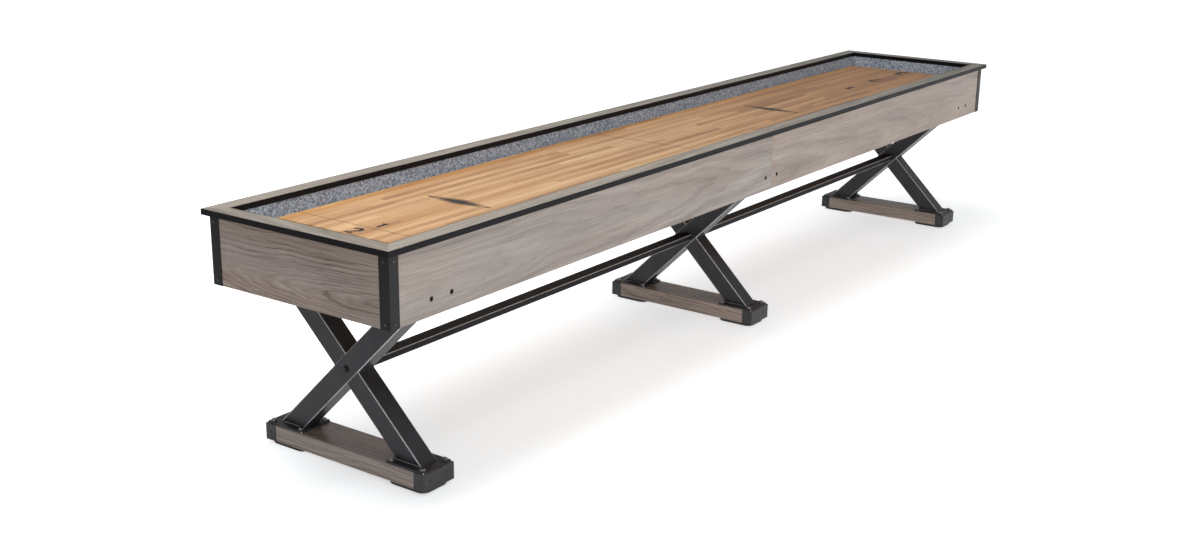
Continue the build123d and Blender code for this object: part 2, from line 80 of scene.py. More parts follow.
class Graph:
    """A material under construction. Its methods add nodes and give back their output sockets."""

    def __init__(self, name):
        self.material = bpy.data.materials.new(name)
        self.material.use_nodes = True
        self.tree = self.material.node_tree
        self.shader = self.tree.nodes["Principled BSDF"]
        self.place = self.tree.nodes.new("ShaderNodeTexCoord").outputs["Object"]

    def put(self, socket, value):
        if isinstance(value, bpy.types.NodeSocket):
            self.tree.links.new(value, socket)
        else:
            socket.default_value = value

    def math(self, operation, a, b=0.0, c=0.0):
        node = self.tree.nodes.new("ShaderNodeMath")
        node.operation = operation
        for socket, value in zip(node.inputs, (a, b, c)):
            self.put(socket, value)
        return node.outputs[0]

    def axes(self):
        node = self.tree.nodes.new("ShaderNodeSeparateXYZ")
        self.put(node.inputs[0], self.place)
        return tuple(node.outputs)

    def vector(self, x, y, z):
        node = self.tree.nodes.new("ShaderNodeCombineXYZ")
        for socket, value in zip(node.inputs, (x, y, z)):
            self.put(socket, value)
        return node.outputs[0]

    def stretched(self, axes, scales):
        """A vector whose components are the given axes, each times its scale."""
        return self.vector(*(self.math("MULTIPLY", a, s) for a, s in zip(axes, scales)))

    def noise(self, where, scale=1.0, detail=2.0, roughness=0.5, distortion=0.0):
        node = self.tree.nodes.new("ShaderNodeTexNoise")
        self.put(node.inputs["Vector"], where)
        node.inputs["Scale"].default_value = scale
        node.inputs["Detail"].default_value = detail
        node.inputs["Roughness"].default_value = roughness
        node.inputs["Distortion"].default_value = distortion
        return node.outputs["Fac"]

    def noise_line(self, where, detail=3.0, roughness=0.6):
        node = self.tree.nodes.new("ShaderNodeTexNoise")
        node.noise_dimensions = "1D"
        self.put(node.inputs["W"], where)
        node.inputs["Scale"].default_value = 1.0
        node.inputs["Detail"].default_value = detail
        node.inputs["Roughness"].default_value = roughness
        return node.outputs["Fac"]

    def chance(self, a, b=0.0):
        """A steady random number from 0 to 1 for a pair of whole numbers."""
        node = self.tree.nodes.new("ShaderNodeTexWhiteNoise")
        node.noise_dimensions = "3D"
        self.put(node.inputs["Vector"], self.vector(a, b, 0.5))
        return node.outputs["Value"]

    def cell_colours(self, where, scale):
        """A random colour for each small cell of the surface, as its three parts."""
        node = self.tree.nodes.new("ShaderNodeTexVoronoi")
        self.put(node.inputs["Vector"], where)
        node.inputs["Scale"].default_value = scale
        split = self.tree.nodes.new("ShaderNodeSeparateColor")
        self.put(split.inputs[0], node.outputs["Color"])
        return tuple(split.outputs)

    def span(self, value, low, high, to_low=0.0, to_high=1.0, smooth=False):
        node = self.tree.nodes.new("ShaderNodeMapRange")
        if smooth:
            node.interpolation_type = "SMOOTHSTEP"
        for socket, given in zip(node.inputs, (value, low, high, to_low, to_high)):
            self.put(socket, given)
        return node.outputs[0]

    def ramp(self, factor, stops):
        node = self.tree.nodes.new("ShaderNodeValToRGB")
        ramp = node.color_ramp
        while len(ramp.elements) < len(stops):
            ramp.elements.new(0.5)
        for element, (position, colour) in zip(ramp.elements, stops):
            element.position = position
            element.color = (*colour, 1)
        self.put(node.inputs[0], factor)
        return node.outputs["Color"]

    def mix(self, factor, a, b, blend="MIX"):
        node = self.tree.nodes.new("ShaderNodeMix")
        node.data_type = "RGBA"
        node.blend_type = blend
        self.put(node.inputs[0], factor)
        for socket, value in ((node.inputs[6], a), (node.inputs[7], b)):
            self.put(socket, (*value, 1) if isinstance(value, tuple) else value)
        return node.outputs[2]

    def tinted(self, factor, colour, tint):
        """The colour, multiplied by a tint where factor is 1."""
        return self.mix(factor, colour, self.mix(1.0, colour, tint, "MULTIPLY"))

    def total(self, first, *weighed):
        """The first value plus every other one times its share."""
        for value, share in weighed:
            first = self.math("MULTIPLY_ADD", value, share, first)
        return first

    def grey(self, value):
        return self.vector(value, value, value)

    def bump(self, height, distance, strength):
        node = self.tree.nodes.new("ShaderNodeBump")
        node.inputs["Strength"].default_value = strength
        node.inputs["Distance"].default_value = distance
        self.put(node.inputs["Height"], height)
        return node.outputs["Normal"]

    def finish(self, **sockets):
        """Sets sockets of the shader, named with _ for the spaces, and gives back the material."""
        for name, value in sockets.items():
            socket = self.shader.inputs[name.replace("_", " ")]
            self.put(socket, (*value, 1) if isinstance(value, tuple) else value)
        return self.material


# A jointed panel's second board is a piece of the same print from further along and higher up
SECOND_BOARD_RUN = 3.7
SECOND_BOARD_LIFT = 0.055
STRIP_WIDTH = 26 * MM
STAVE_LENGTH = 0.92


def driftwood(name, order, tones, gloss, ring_gap, figure, heart, centre=None, seed=0.0, joint=False):
    """Grey printed wood. order says which axes run along, across and into the board. centre is how far
    across its pith lies; without one the grain runs on over the board's edges. heart is how far below
    the face the pith lies at along = 0, and how that grows per metre. figure is how dark the late wood
    is. joint puts two boards end to end, meeting at 0."""
    g = Graph(name)
    axes = g.axes()
    along, across, depth = (axes[i] for i in order)
    second = g.math("GREATER_THAN", along, 0.0) if joint else 0.0
    if centre is None:
        across = g.math("MULTIPLY_ADD", depth, 0.8, across)
        centre = 0.04
    else:
        across = g.math("ABSOLUTE", across)
    run = g.math("MULTIPLY_ADD", second, SECOND_BOARD_RUN, along)
    cut = g.math("MULTIPLY_ADD", second, SECOND_BOARD_LIFT, across)

    def grain(run_scale, cut_scale, detail, roughness=0.5):
        where = g.stretched((run, cut, depth), (run_scale, cut_scale, cut_scale))
        return g.noise(where, detail=detail, roughness=roughness)

    # Distance from a wandering pith, and the rings round it
    wander = g.noise(g.vector(g.math("MULTIPLY", run, 1.3), seed, 0.0))
    off = g.math("ADD", g.math("SUBTRACT", cut, centre), g.span(wander, 0, 1, -0.07, 0.07))
    below = g.math("ADD", g.math("MULTIPLY", along, heart[1]), heart[0])
    pith = g.math("SQRT", g.math("ADD", g.math("MULTIPLY", off, off), g.math("MULTIPLY", below, below)))
    pith = g.total(pith, (grain(9, 42, 4, 0.6), 0.014))
    turn = g.math("DIVIDE", pith, ring_gap)
    rings = g.noise_line(turn, detail=2.0)
    late = g.math("POWER", g.math("FRACT", g.math("MULTIPLY_ADD", rings, 1.3, turn)), 5.0)
    late = g.math("MULTIPLY", late, g.span(grain(2.2, 14, 2), 0.40, 0.62))

    # Tone from streaks, fibres and patches, then warmth and pores
    streaks = grain(3.6, 210, 4, 0.65)
    tone = g.total(
        g.math("MULTIPLY", rings, 0.22),
        (streaks, 0.36), (grain(26, 900, 2), 0.10), (grain(1.5, 10, 3, 0.6), 0.32), (late, -figure),
    )
    colour = g.ramp(g.span(tone, 0.36, 0.64), tones)
    colour = g.tinted(g.span(grain(0.9, 7, 1), 0.38, 0.62), colour, (1.05, 0.99, 0.94))
    pores = g.span(grain(30, 1000, 1), 0.60, 0.72)
    colour = g.tinted(g.math("MULTIPLY", pores, 0.35), colour, (0.55, 0.52, 0.50))
    relief = g.math("SUBTRACT", g.math("MULTIPLY", rings, 0.5), g.math("ADD", pores, late))
    if joint:
        colour = g.tinted(second, colour, (1.12, 1.06, 1.01))
        gap = g.span(g.math("ABSOLUTE", along), 0.3 * MM, 0.7 * MM, 1.0, 0.0)
        colour = g.mix(g.math("MULTIPLY", gap, 0.7), colour, (0.08, 0.07, 0.06))
        relief = g.total(relief, (gap, -4.0))
    return g.finish(
        Base_Color=colour,
        Roughness=g.span(streaks, 0.3, 0.7, gloss - 0.05, gloss + 0.07),
        Normal=g.bump(relief, 0.12 * MM, 0.5),
        Specular_IOR_Level=0.5,
    )


def butcher_block(name):
    """Maple strips glued side by side, butt-jointed staves along each, under a thin clear coat. The board's
    long edges are darker and golden, partly its own colour and partly painted shade beside the gutters. It
    turns browner and darker towards +X, partly its own colour and partly painted shade for the light that
    falls off towards the far end."""
    g = Graph(name)
    x, y, z = g.axes()
    lane = g.math("DIVIDE", g.math("ADD", y, 10 * STRIP_WIDTH), STRIP_WIDTH)
    strip = g.math("FLOOR", lane)
    shift = g.math("MULTIPLY", g.chance(strip, 7.0), 9.0)
    run = g.math("ADD", g.math("DIVIDE", x, STAVE_LENGTH), shift)
    stave = g.math("FLOOR", run)
    tint = g.chance(strip, stave)
    hue = g.chance(stave, g.math("ADD", strip, 40.0))
    shifted = g.vector(
        g.math("MULTIPLY", x, 2.6),
        g.math("MULTIPLY_ADD", tint, 31.0, g.math("MULTIPLY", y, 62)),
        g.math("MULTIPLY", z, 62),
    )
    grain = g.noise(shifted, detail=4, roughness=0.6, distortion=0.4)
    cloud = g.noise(g.stretched((x, y, z), (2.1, 20, 20)), detail=3, roughness=0.6)
    fine = g.noise(g.stretched((x, y, z), (26, 760, 760)))
    tone = g.total(g.math("MULTIPLY", tint, 0.36), (grain, 0.40), (cloud, 0.55), (fine, 0.10))
    colour = g.ramp(g.span(tone, 0.46, 0.92), MAPLE_TONES)
    colour = g.tinted(g.span(hue, 0.62, 1.0, 0.0, 0.6), colour, (1.02, 0.93, 0.92))
    colour = g.tinted(g.span(hue, 0.0, 0.3, 0.5, 0.0), colour, (1.02, 0.98, 0.80))
    # Partly the board's own colour, partly painted shade: the last few mm of each long edge are darker and
    # golden
    edge = g.span(g.math("ABSOLUTE", y), 0.214, 0.222)
    colour = g.tinted(g.math("MULTIPLY", edge, 0.9), colour, (0.90, 0.76, 0.50))
    # Partly the board's own colour, partly painted shade: browner and darker towards +X, for light falling
    # off along the board
    colour = g.tinted(g.span(x, -0.6, 1.9), colour, (0.82, 0.64, 0.42))
    seam = g.span(g.math("PINGPONG", lane, 0.5), 0.0, 0.012, 1.0, 0.0)
    butt = g.math("MULTIPLY", g.math("PINGPONG", run, 0.5), STAVE_LENGTH / STRIP_WIDTH)
    butt = g.span(butt, 0.0, 0.016, 1.0, 0.0)
    glue = g.math("MAXIMUM", g.math("MULTIPLY", seam, 0.55), g.math("MULTIPLY", butt, 0.75))
    colour = g.tinted(glue, colour, (0.45, 0.33, 0.24))
    return g.finish(
        Base_Color=colour,
        Roughness=g.span(grain, 0.3, 0.7, 0.28, 0.38),
        Normal=g.bump(fine, 0.05 * MM, 0.4),
        Specular_IOR_Level=0.3,
        Coat_Weight=0.08,
        Coat_Roughness=0.12,
    )


def felt(name):
    """Speckled wool-like cloth: pale and dark flecks on blue-grey, with a short pile."""
    g = Graph(name)
    pile = g.noise(g.place, scale=1100, roughness=0.7)
    clump = g.noise(g.place, scale=130, detail=4, roughness=0.8, distortion=0.6)
    worn = g.noise(g.place, scale=9)
    fleck, blue_fleck, _ = g.cell_colours(g.place, 185)
    tone = g.total(g.math("MULTIPLY", fleck, 0.50), (pile, 0.25), (clump, 1.15), (worn, 0.14))
    colour = g.ramp(g.span(tone, 0.52, 1.54), FELT_TONES)
    colour = g.mix(g.span(blue_fleck, 0.80, 0.92, 0.0, 0.45), colour, (0.18, 0.24, 0.38))
    return g.finish(
        Base_Color=colour,
        Roughness=0.95,
        Sheen_Weight=0.25,
        Sheen_Roughness=0.5,
        Specular_IOR_Level=0.15,
        Normal=g.bump(g.total(pile, (clump, 0.8)), 0.9 * MM, 0.7),
    )


def powder_coat(name, dark, pale, gloss, shine=0.5, relief=0.10, edges=None):
    """Black powder coat with a fine orange-peel texture and dust. edges names the two sets of axes whose
    faces meet at the tube's corners. These get a painted highlight: a patchy pale grey line, also made
    smoother, standing in for the light the corners catch."""
    g = Graph(name)
    peel = g.noise(g.place, scale=1100, roughness=0.6)
    cloud = g.noise(g.place, scale=9, detail=4, roughness=0.6)
    dust = g.span(g.noise(g.place, scale=380, detail=4, roughness=0.75), 0.62, 0.74)
    colour = g.ramp(cloud, ((0.3, dark), (0.75, pale)))
    colour = g.mix(g.math("MULTIPLY", dust, 0.22), colour, (0.16, 0.16, 0.165))
    rough = g.span(cloud, 0.3, 0.7, gloss - 0.05, gloss + 0.06)
    if edges:
        # Painted highlight: the rounded corners are painted pale grey in patches, and made smoother
        split = g.tree.nodes.new("ShaderNodeSeparateXYZ")
        g.put(split.inputs[0], g.tree.nodes.new("ShaderNodeTexCoord").outputs["Normal"])
        squares = [g.math("MULTIPLY", part, part) for part in split.outputs]
        one, two = (g.total(squares[first], *((squares[k], 1.0) for k in rest)) for first, *rest in edges)
        corner = g.math("MULTIPLY", g.math("MULTIPLY", one, two), 4.0)
        highlight_breakup = g.noise(g.place, scale=55, detail=4, roughness=0.7)
        corner = g.math("MULTIPLY", g.span(corner, 0.45, 0.85), g.span(highlight_breakup, 0.30, 0.55, 0.55, 1.0))
        colour = g.mix(corner, colour, (0.58, 0.58, 0.60))
        rough = g.mix(corner, g.grey(rough), (0.22, 0.22, 0.22))
    return g.finish(
        Base_Color=colour,
        Roughness=rough,
        Specular_IOR_Level=shine,
        Normal=g.bump(peel, relief * MM, 0.35),
    )


def metal(name, dark, pale, gloss):
    """Plated or oxidised steel with fine turning marks and a patchy tone."""
    g = Graph(name)
    marks = g.noise(g.stretched(g.axes(), (160, 2400, 2400)), detail=3)
    patch = g.noise(g.place, scale=160, detail=3, roughness=0.65)
    return g.finish(
        Base_Color=g.ramp(patch, ((0.3, dark), (0.7, pale))),
        Metallic=0.9,
        Roughness=g.span(g.total(marks, (patch, 0.6)), 0.4, 1.2, gloss - 0.08, gloss + 0.1),
        Normal=g.bump(marks, 0.02 * MM, 0.25),
    )


def black_plastic(name, tone, gloss):
    """Satin black plastic edging with faint cutter marks across it."""
    g = Graph(name)
    marks = g.noise(g.stretched(g.axes(), (420, 420, 24)))
    smudge = g.noise(g.place, scale=14, detail=4, roughness=0.6)
    return g.finish(
        Base_Color=g.ramp(smudge, ((0.25, tone), (0.8, tuple(c * 1.6 for c in tone)))),
        Specular_IOR_Level=0.1,
        Roughness=g.span(smudge, 0.3, 0.7, gloss - 0.05, gloss + 0.08),
        Normal=g.bump(marks, 0.03 * MM, 0.3),
    )


def rubber(name):
    """Dark rubber with a gritty surface and dull scuffs."""
    g = Graph(name)
    grit = g.noise(g.place, scale=1500, detail=3, roughness=0.7)
    scuff = g.noise(g.place, scale=60, detail=4, roughness=0.7)
    return g.finish(
        Base_Color=g.ramp(scuff, ((0.3, (0.016, 0.016, 0.017)), (0.75, (0.034, 0.033, 0.033)))),
        Roughness=g.span(scuff, 0.3, 0.7, 0.55, 0.72),
        Normal=g.bump(grit, 0.08 * MM, 0.5),
    )


def softwood(name):
    """Planed pine: straight yellow grain along Y with darker late wood."""
    g = Graph(name)
    x, y, z = g.axes()
    bend = g.noise(g.stretched((x, y, z), (14, 1.5, 14)))
    rings = g.noise_line(g.math("MULTIPLY_ADD", bend, 9.0, g.math("MULTIPLY", g.math("ADD", z, x), 170)))
    fine = g.noise(g.stretched((x, y, z), (520, 9, 520)), detail=3)
    tone = g.total(g.math("MULTIPLY", rings, 0.7), (fine, 0.3))
    colour = g.ramp(g.span(tone, 0.3, 0.7), PINE_TONES)
    return g.finish(Base_Color=colour, Roughness=0.62, Normal=g.bump(fine, 0.1 * MM, 0.5))


def fibreboard(name):
    """Brown pressed board: fine mottled fibres with a slightly fuzzy face."""
    g = Graph(name)
    fibres = g.noise(g.place, scale=420, detail=4, roughness=0.7, distortion=1.2)
    cloud = g.noise(g.place, scale=7, detail=3)
    tone = g.total(g.math("MULTIPLY", cloud, 0.4), (fibres, 0.6))
    colour = g.ramp(g.span(tone, 0.35, 0.65), FIBREBOARD_TONES)
    return g.finish(Base_Color=colour, Roughness=0.75, Normal=g.bump(fibres, 0.15 * MM, 0.5))


def ink(name, tone):
    """Dull printed ink, thin enough for the grain to mottle it."""
    g = Graph(name)
    wear = g.noise(g.stretched(g.axes(), (60, 420, 420)), detail=4, roughness=0.7)
    colour = g.ramp(wear, ((0.45, tone), (0.85, tuple(c * 1.6 + 0.01 for c in tone))))
    return g.finish(Base_Color=colour, Roughness=0.35, Specular_IOR_Level=0.25)


SIDE_TONES = (
    (0.0, (0.215, 0.180, 0.160)),
    (0.35, (0.320, 0.277, 0.252)),
    (0.65, (0.390, 0.343, 0.315)),
    (1.0, (0.480, 0.435, 0.405)),
)
END_TONES = (
    (0.0, (0.128, 0.092, 0.072)),
    (0.3, (0.275, 0.216, 0.185)),
    (0.65, (0.395, 0.325, 0.286)),
    (1.0, (0.530, 0.462, 0.420)),
)
RAIL_TONES = (
    (0.0, (0.190, 0.160, 0.126)),
    (0.35, (0.285, 0.252, 0.208)),
    (0.65, (0.360, 0.328, 0.280)),
    (1.0, (0.465, 0.432, 0.380)),
)
END_RAIL_SHADE = 0.84
END_RAIL_TONES = tuple((stop, tuple(c * END_RAIL_SHADE for c in tone)) for stop, tone in RAIL_TONES)
BEAM_TONES = (
    (0.0, (0.120, 0.088, 0.070)),
    (0.35, (0.220, 0.176, 0.151)),
    (0.65, (0.305, 0.253, 0.226)),
    (1.0, (0.410, 0.354, 0.321)),
)
MAPLE_TONES = (
    (0.0, (0.370, 0.172, 0.064)),
    (0.35, (0.530, 0.290, 0.128)),
    (0.65, (0.640, 0.380, 0.184)),
    (1.0, (0.760, 0.497, 0.264)),
)
FELT_TONES = (
    (0.0, (0.045, 0.052, 0.068)),
    (0.26, (0.210, 0.240, 0.292)),
    (0.48, (0.425, 0.464, 0.530)),
    (0.68, (0.655, 0.685, 0.735)),
    (1.0, (0.90, 0.90, 0.91)),
)
PINE_TONES = ((0.0, (0.42, 0.25, 0.11)), (0.45, (0.60, 0.42, 0.22)), (1.0, (0.70, 0.53, 0.32)))
FIBREBOARD_TONES = ((0.0, (0.130, 0.085, 0.052)), (0.5, (0.185, 0.125, 0.078)), (1.0, (0.250, 0.175, 0.115)))

side_laminate = driftwood(
    "side_laminate", (0, 2, 1), SIDE_TONES, gloss=0.42, ring_gap=0.012, figure=0.06,
    heart=(0.16, 0.035), centre=0.655, seed=2.0, joint=True,
)
end_laminate = driftwood(
    "end_laminate", (1, 2, 0), END_TONES, gloss=0.45, ring_gap=0.0070, figure=0.17,
    heart=(0.040, 0.085), centre=0.615, seed=11.0,
)
rail_laminate_x = driftwood(
    "rail_laminate_along_x", (0, 1, 2), RAIL_TONES, gloss=0.30, ring_gap=0.010, figure=0.10,
    heart=(0.12, 0.02), centre=0.30, seed=4.0,
)
rail_laminate_y = driftwood(
    "rail_laminate_along_y", (1, 0, 2), END_RAIL_TONES, gloss=0.30, ring_gap=0.010, figure=0.10,
    heart=(0.12, 0.05), centre=2.06, seed=8.0,
)
beam_laminate = driftwood(
    "beam_laminate", (1, 2, 0), BEAM_TONES, gloss=0.28, ring_gap=0.010, figure=0.12,
    heart=(0.09, 0.08), seed=17.0,
)
maple = butcher_block("maple_butcher_block")
felt_cloth = felt("speckled_felt")
band_plastic = black_plastic("black_edge_band", (0.008, 0.008, 0.010), 0.36)
leg_coat = powder_coat(
    "leg_powder_coat", (0.022, 0.022, 0.026), (0.043, 0.043, 0.051), 0.36,
    shine=0.3, edges=((0,), (1, 2)),
)
rail_coat = powder_coat(
    "stretcher_powder_coat", (0.012, 0.012, 0.013), (0.024, 0.024, 0.027), 0.46,
    shine=0.10, edges=((1,), (2,)),
)
cap_coat = powder_coat("cap_powder_coat", (0.014, 0.015, 0.017), (0.034, 0.036, 0.040), 0.42, relief=0.2)
angle_coat = powder_coat("angle_powder_coat", (0.008, 0.008, 0.009), (0.015, 0.015, 0.017), 0.34, shine=0.24)
screw_steel = metal("black_oxide_screw", (0.05, 0.05, 0.05), (0.16, 0.16, 0.16), 0.30)
bolt_steel = metal("blackened_bolt", (0.10, 0.10, 0.10), (0.36, 0.36, 0.36), 0.30)
bolt_black = metal("black_bolt", (0.014, 0.014, 0.015), (0.045, 0.045, 0.048), 0.36)
recess_steel = metal("brown_oxide_bolt", (0.020, 0.014, 0.011), (0.055, 0.040, 0.032), 0.42)
zinc = metal("zinc_plated_steel", (0.46, 0.46, 0.45), (0.60, 0.60, 0.61), 0.34)
foot_rubber = rubber("foot_rubber")
pine = softwood("planed_pine")
board_under_felt = fibreboard("brown_fibreboard")
dark_ink = ink("dark_ink", (0.010, 0.008, 0.007))
line_ink = ink("line_ink", (0.085, 0.040, 0.018))

NODE_MATERIALS = (
    ("side_panel", side_laminate),
    ("end_panel", end_laminate),
    ("rail_cap_front", rail_laminate_x),
    ("rail_cap_back", rail_laminate_x),
    ("rail_cap", rail_laminate_y),
    ("rail_band", band_plastic),
    ("wall_liner", board_under_felt),
    ("gutter_board", board_under_felt),
    ("playfield", maple),
    ("cradle", pine),
    ("climate_adjuster", zinc),
    ("corner_angle", angle_coat),
    ("side_bolts", recess_steel),
    ("foot_beam_1_end_caps", cap_coat),
    ("foot_beam_2_end_caps", cap_coat),
    ("foot_beam_3_end_caps", cap_coat),
    ("foot_beam", beam_laminate),
    ("levelling_foot", foot_rubber),
    ("corner_screws", screw_steel),
    ("cap_screws", screw_steel),
    ("base_plate_bolts", bolt_steel),
    ("stretcher_bolts", bolt_black),
    ("leg_", leg_coat),
    ("stretcher", rail_coat),
)

for node_name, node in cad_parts.items():
    node_material = next(m for start, m in NODE_MATERIALS if node_name.startswith(start))
    for material_slot in node.material_slots:
        material_slot.material = node_material

# ---------------------------------------------------------------- making pieces


def add_piece(name, vertices, faces, material, body=BODY, smooth=30.0):
    """A mesh piece in the row frame that rides on a body; edges sharper than smooth degrees stay sharp."""
    mesh = bpy.data.meshes.new(name)
    mesh.from_pydata([tuple(v) for v in vertices], [], faces)
    work = bmesh.new()
    work.from_mesh(mesh)
    bmesh.ops.recalc_face_normals(work, faces=work.faces)
    work.to_mesh(mesh)
    work.free()
    mesh.materials.append(material)
    mesh.shade_smooth()
    mesh.set_sharp_from_angle(angle=math.radians(smooth))
    piece = bpy.data.objects.new(name, mesh)
    bpy.context.scene.collection.objects.link(piece)
    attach(piece, body)
    return piece


class Shape:
    """Vertices and faces of one piece, gathered from several closed parts."""

    def __init__(self):
        self.vertices = []
        self.faces = []

    def add(self, vertices, faces):
        start = len(self.vertices)
        self.vertices.extend(vertices)
        self.faces.extend([tuple(start + i for i in face) for face in faces])

    def add_rings(self, rings, closed_path=False):
        """A skin over rings of equally many points. The last joins the first on a closed path, and
        otherwise both are closed with a face."""
        count = len(rings[0])
        vertices = [p for ring in rings for p in ring]
        faces = []
        spans = len(rings) if closed_path else len(rings) - 1
        for i in range(spans):
            a, b = i * count, (i + 1) % len(rings) * count
            for k in range(count):
                n = (k + 1) % count
                faces.append((a + k, a + n, b + n, b + k))
        if not closed_path:
            faces.append(tuple(range(count))[::-1])
            faces.append(tuple((len(rings) - 1) * count + k for k in range(count)))
        self.add(vertices, faces)


def standing_on(origin, normal, up=Vector((0, 0, 1))):
    """Matrix of a place whose Z looks along normal."""
    z = Vector(normal).normalized()
    if abs(z.dot(up)) > 0.9:
        up = Vector((0, 1, 0))
    x = up.cross(z).normalized()
    y = z.cross(x)
    turned = Matrix((x, y, z)).transposed().to_4x4()
    turned.translation = Vector(origin)
    return turned


# ---------------------------------------------------------------- screws and bolts

HEAD_POINTS = 40
SHANK_RADIUS = 2.5 * MM
SHANK_SHOWN = 2 * MM


def cross_outline(arm, half_width, angle):
    """Distance from the middle to the edge of a cross-shaped recess, at an angle."""
    a = angle % (math.pi / 2)
    a = min(a, math.pi / 2 - a)
    if math.tan(a) <= half_width / arm:
        return arm / math.cos(a)
    return half_width / math.sin(a)


def recess_angles(arm, half_width):
    """Angles that meet every corner of the cross, with a few between."""
    tip = math.atan2(half_width, arm)
    quarter = [0.0, tip, tip * 1.7, 0.36, 0.58]
    quarter += [math.pi / 4] + [math.pi / 2 - a for a in reversed(quarter[1:])]
    return [q * math.pi / 2 + a for q in range(4) for a in quarter]


def screw_head_rings():
    """Pan head with a cross recess, 9.2 mm across and 2.2 mm high, from its recess out to its rim."""
    radius, height, arm, half_width, depth = 4.6 * MM, 2.2 * MM, 2.5 * MM, 0.55 * MM, 1.3 * MM
    angles = recess_angles(arm, half_width)

    def dome(r):
        return height * (0.62 + 0.38 * math.sqrt(max(0.0, 1 - (r / radius) ** 2)))

    rings = [[Vector((0, 0, dome(0) - depth * 1.25)) for a in angles]]
    for share, sunk in ((0.55, depth), (0.88, depth * 0.8), (0.97, 0.06 * MM)):
        rings.append([])
        for a in angles:
            r = cross_outline(arm, half_width, a) * share
            rings[-1].append(Vector((r * math.cos(a), r * math.sin(a), dome(r) - sunk)))
    for blend in (0.0, 0.3, 0.65, 0.88):
        rings.append([])
        for a in angles:
            inner = cross_outline(arm, half_width, a) * 1.04
            r = inner + (radius * 0.97 - inner) * blend
            rings[-1].append(Vector((r * math.cos(a), r * math.sin(a), dome(r))))
    side = ((radius * 0.985, height * 0.5), (radius, height * 0.3), (radius, 0))
    for r, z in (*side, (SHANK_RADIUS, 0), (SHANK_RADIUS, -SHANK_SHOWN)):
        rings.append([Vector((r * math.cos(a), r * math.sin(a), z)) for a in angles])
    return rings


def hexagon_reach(apothem, angle):
    """Distance from the middle to the edge of a hexagon, at an angle."""
    return apothem / math.cos((angle + math.pi / 6) % (math.pi / 3) - math.pi / 6)


def hex_head_rings(corner_radius, head_height, flange_radius, flange_height):
    """Hexagon head with a chamfered top on a round flange."""
    apothem = corner_radius * math.cos(math.pi / 6)
    angles = [k * math.tau / HEAD_POINTS for k in range(HEAD_POINTS)]

    def hexagon(a):
        return hexagon_reach(apothem, a)

    def chamfer_height(a):
        return head_height - (hexagon(a) - apothem * 0.94) / math.tan(math.radians(62))

    def ring(radius_at, height_at):
        points = ((a, radius_at(a), height_at(a)) for a in angles)
        return [Vector((r * math.cos(a), r * math.sin(a), z)) for a, r, z in points]

    plain = (
        (flange_radius * 0.98, 0.0),
        (flange_radius, flange_height * 0.25),
        (flange_radius, flange_height * 0.7),
        (flange_radius * 0.96, flange_height),
    )
    rings = [ring(lambda a, r=r: r, lambda a, z=z: z) for r, z in plain]
    rings.append(ring(lambda a: hexagon(a) * 1.02, lambda a: flange_height * 1.15))
    rings.append(ring(hexagon, lambda a: flange_height * 1.6))
    rings.append(ring(hexagon, chamfer_height))
    rings.append(ring(lambda a: apothem * 0.94, lambda a: head_height))
    rings.append(ring(lambda a: apothem * 0.80, lambda a: head_height * 0.985))
    return rings


def fasteners(name, replaced, rings, places, material):
    """One piece that holds the same fastener at every place, turned by a steady random angle."""
    turn = random.Random(name)
    shape = Shape()
    for place in places:
        spin = place @ Matrix.Rotation(turn.uniform(0, math.tau), 4, "Z")
        shape.add_rings([[spin @ p for p in ring] for ring in rings])
    piece = add_piece(name, shape.vertices, shape.faces, material, smooth=35.0)
    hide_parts(replaced)


angle_low, angle_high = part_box("corner_angle_back_right")
SCREW_INSET = 19 * MM
LOW_SCREW_INSET = 16 * MM
screw_heights = (angle_low.z + LOW_SCREW_INSET, angle_high.z - SCREW_INSET)
corner_places = []
for side_x in (-1, 1):
    for side_y in (-1, 1):
        for height in screw_heights:
            x, y = side_x * angle_high.x, side_y * angle_high.y
            corner_places.append(standing_on((x - side_x * SCREW_INSET, y, height), (0, side_y, 0)))
            corner_places.append(standing_on((x, y - side_y * SCREW_INSET, height), (side_x, 0, 0)))
fasteners(
    "corner_screw_heads", "corner_screws", screw_head_rings(), corner_places, screw_steel
)

CAP_SCREW_SPACING = 70 * MM
CAP_SCREW_INSET = 20 * MM
cap_places = []
for number in LEG_NUMBERS:
    low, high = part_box(f"foot_beam_{number}_end_caps")
    centre = (low + high) / 2
    for side in (-1, 1):
        end_y = side * high.y
        for step in (-0.5, 0.5):
            x = centre.x + step * CAP_SCREW_SPACING
            cap_places.append(standing_on((x, end_y, centre.z), (0, side, 0)))
        for x, out in ((low.x, -1), (high.x, 1)):
            cap_places.append(standing_on((x, end_y - side * CAP_SCREW_INSET, centre.z), (out, 0, 0)))
fasteners("cap_screw_heads", "cap_screws", screw_head_rings(), cap_places, screw_steel)

BASE_BOLT_SPACING = (96 * MM, 120 * MM)
PLATE_MIDDLE_INSET = 76 * MM
plate_places = []
for number in LEG_NUMBERS:
    low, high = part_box(f"leg_{number}_base_plates")
    plate_y = high.y - PLATE_MIDDLE_INSET
    for side in (-1, 1):
        for step_x in (-0.5, 0.5):
            for step_y in (-0.5, 0.5):
                x = (low.x + high.x) / 2 + step_x * BASE_BOLT_SPACING[0]
                y = side * plate_y + step_y * BASE_BOLT_SPACING[1]
                plate_places.append(Matrix.Translation((x, y, high.z)))
lag_bolt = hex_head_rings(9 * MM, 7 * MM, 10.3 * MM, 1.3 * MM)
fasteners("base_plate_bolt_heads", "base_plate_bolts", lag_bolt, plate_places, bolt_steel)

